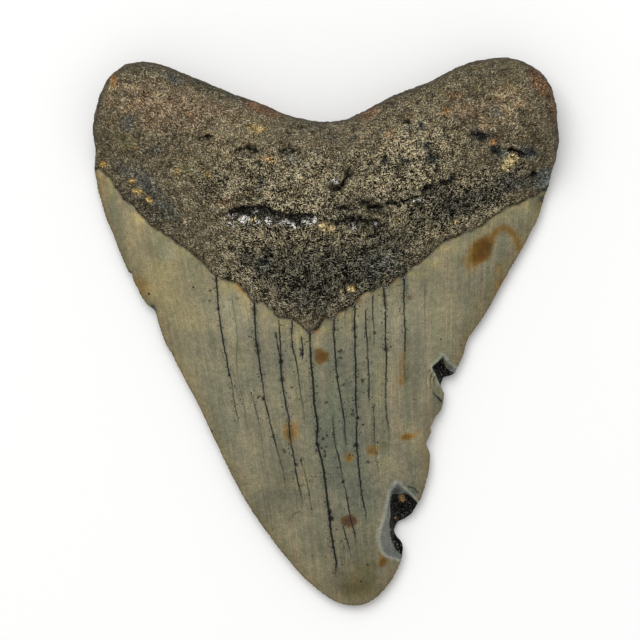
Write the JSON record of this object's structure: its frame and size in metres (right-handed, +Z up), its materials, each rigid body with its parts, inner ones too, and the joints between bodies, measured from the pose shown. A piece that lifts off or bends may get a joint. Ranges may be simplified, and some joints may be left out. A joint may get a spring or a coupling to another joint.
{
  "type": "megalodon tooth",
  "caption": "Fossil megalodon tooth with a heavy, pitted root and a broad, cracked crown with chipped cutting edges, lying on its flat outer face.",
  "frame": {"origin": "middle of the outline, on the surface that the tooth lies on", "axes": "+Z up, away from the flat outer face and out of the bulging inner face; +Y from the tip towards the root; +X to the right, seen from above with the root at the top"},
  "size_m": [0.0839, 0.0988, 0.0213],
  "materials": {
    "tooth": "satin fossil enamel, rough mineralised root"
  },
  "bodies": {
    "root": {"megalodon_tooth": "tooth"}
  },
  "joints": []
}
